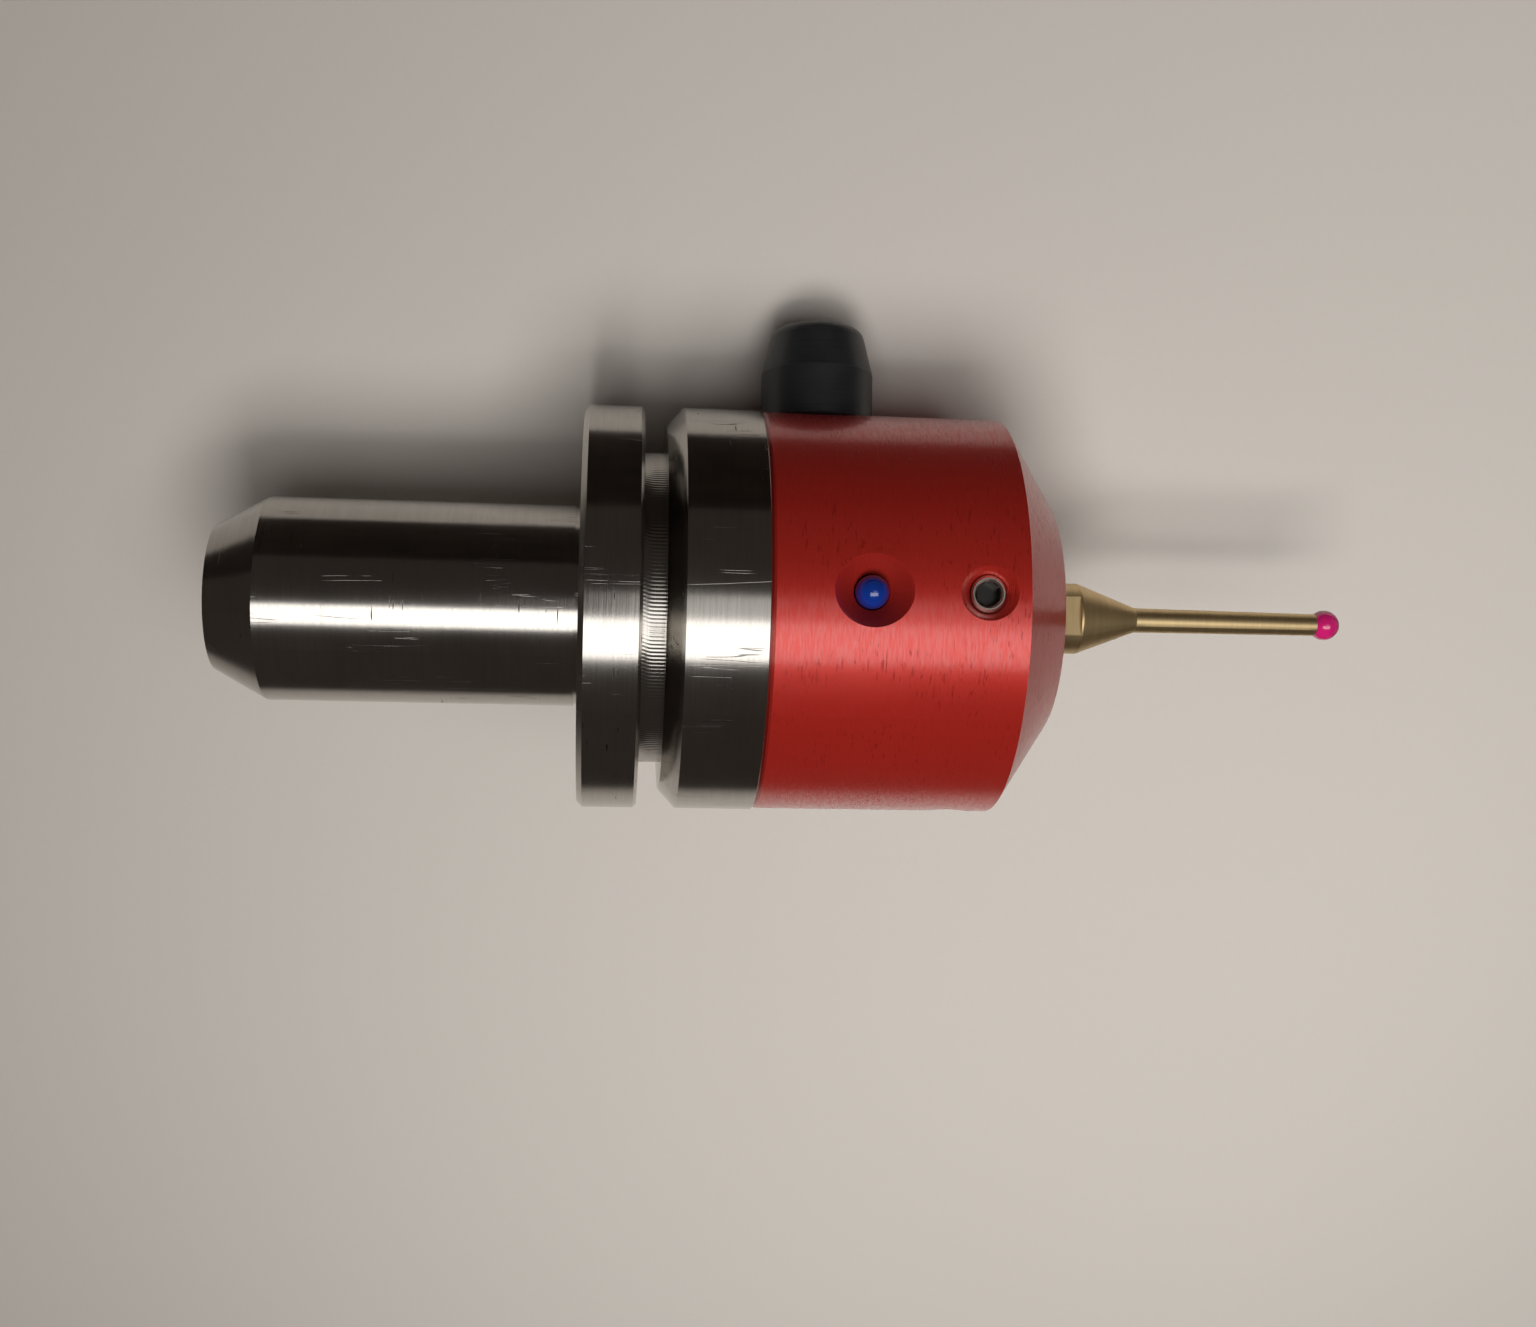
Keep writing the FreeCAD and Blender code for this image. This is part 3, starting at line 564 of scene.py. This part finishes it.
class FINDER_OT_studio(bpy.types.Operator):
    """Lay the table, hang the lamps and set the camera"""
    bl_idname = "finder.studio"
    bl_label = "Studio"

    def execute(self, context):
        s = context.scene.finder_studio
        self.table(s)
        self.cards()
        self.room(context, s)
        self.lamps(s)
        self.camera(context, s)
        return {"FINISHED"}

    def table(self, s):
        mesh = bpy.data.meshes.new("table")
        work = bmesh.new()
        bmesh.ops.create_grid(work, x_segments=8, y_segments=8, size=s.floor_size / 2,
                              matrix=Matrix.Translation((TABLE_CENTRE_X, 0, FLOOR_Z)))
        work.to_mesh(mesh)
        work.free()
        mesh.materials.append(table_top("table laminate", s.floor))
        floor = place_in_scene("table", mesh)

    def cards(self):
        """A dark card behind the probe and a grey one past its tip, seen only in reflections, where
        they paint darker reflections on the metal.
        """
        for name, start, end, tint in CARDS:
            mesh = bpy.data.meshes.new(name)
            mesh.from_pydata([(*start, FLOOR_Z), (*end, FLOOR_Z), (*end, CARD_TOP),
                              (*start, CARD_TOP)], [], [(0, 1, 2, 3)])
            mesh.materials.append(plastic(name, tint, 0.9))
            card = place_in_scene(name.replace(" ", "_"), mesh)
            card.visible_camera = card.visible_diffuse = card.visible_shadow = False

    def room(self, context, s):
        world = bpy.data.worlds.new("room")
        world.use_nodes = True
        world.node_tree.nodes["Background"].inputs["Color"].default_value = (*s.surroundings, 1.0)
        context.scene.world = world

    def lamps(self, s):
        """Two panes that face the probe's axis, and a desk lamp that lights the table past it."""
        for (name, station, angle, size), power in zip(PANES, (s.window_power, s.pane_power)):
            target = AXIS * station
            self.lamp(name, target + radial(math.radians(angle)) * PANE_DISTANCE, target, size,
                      power, s.lamplight)
        desk = self.lamp("desk lamp", DESK_LAMP_PLACE, DESK_LAMP_TARGET, DESK_LAMP_SIZE,
                         s.desk_power, s.lamplight)
        desk.data.spread = DESK_LAMP_SPREAD
        desk.visible_glossy = False

    def lamp(self, name, place, target, size, power, tint):
        """A flat lamp at a place, facing a target, with its width along the probe's axis."""
        lamp = bpy.data.lights.new(name, "AREA")
        lamp.shape = "RECTANGLE"
        lamp.size, lamp.size_y = size
        lamp.energy = power
        lamp.color = tint
        holder = place_in_scene(name, lamp)
        back = (place - target).normalized()
        across = (AXIS - back * AXIS.dot(back)).normalized()
        turned = Matrix((across, back.cross(across), back)).transposed()
        holder.matrix_world = Matrix.Translation(place) @ turned.to_4x4()
        holder.visible_camera = False
        return holder

    def camera(self, context, s):
        """A camera square to the probe's axis at its bearing, then turned by its three angles."""
        camera = bpy.data.cameras.new("camera")
        camera.sensor_fit = "HORIZONTAL"
        camera.sensor_width = SENSOR_WIDTH
        camera.lens = s.lens
        camera.clip_start = NEAREST_VIEW
        holder = place_in_scene("camera", camera)
        outward = radial(s.bearing)
        basis = Matrix((AXIS, outward.cross(AXIS), outward)).transposed()
        turn = (Matrix.Rotation(s.roll, 3, "Z") @ Matrix.Rotation(s.pitch, 3, "X")
                @ Matrix.Rotation(s.yaw, 3, "Y")).transposed()
        place = at(s.station, s.distance, s.bearing)
        holder.matrix_world = Matrix.Translation(place) @ (basis @ turn).to_4x4()
        context.scene.camera = holder
        context.scene.view_settings.view_transform = "Standard"


OPERATORS = (FINDER_OT_steel, FINDER_OT_nose, FINDER_OT_boss, FINDER_OT_stylus, FINDER_OT_works,
             FINDER_OT_studio)
SETTINGS = {"finder_steel": SteelSettings, "finder_nose": NoseSettings,
            "finder_boss": BossSettings, "finder_stylus": StylusSettings,
            "finder_studio": StudioSettings}


class FINDER_PT_panel(bpy.types.Panel):
    """Sizes, colours and steps of the edge finder"""
    bl_idname = "FINDER_PT_panel"
    bl_label = "Edge finder"
    bl_space_type = "VIEW_3D"
    bl_region_type = "UI"
    bl_category = "Edge finder"

    def draw(self, context):
        for name, group in SETTINGS.items():
            box = self.layout.box()
            box.label(text=group.__doc__)
            for key in group.__annotations__:
                box.prop(getattr(context.scene, name), key)
        for operator in OPERATORS:
            self.layout.operator(operator.bl_idname)


def register():
    for group in (*SETTINGS.values(), *OPERATORS, FINDER_PT_panel):
        bpy.utils.register_class(group)
    for name, group in SETTINGS.items():
        setattr(bpy.types.Scene, name, PointerProperty(type=group))


def unregister():
    for name in SETTINGS:
        delattr(bpy.types.Scene, name)
    for group in reversed((*SETTINGS.values(), *OPERATORS, FINDER_PT_panel)):
        bpy.utils.unregister_class(group)


def main():
    register()
    bpy.ops.finder.steel()
    bpy.ops.finder.nose()
    bpy.ops.finder.boss()
    bpy.ops.finder.stylus()
    bpy.ops.finder.works()
    bpy.ops.finder.studio()


if __name__ == "__main__":
    main()
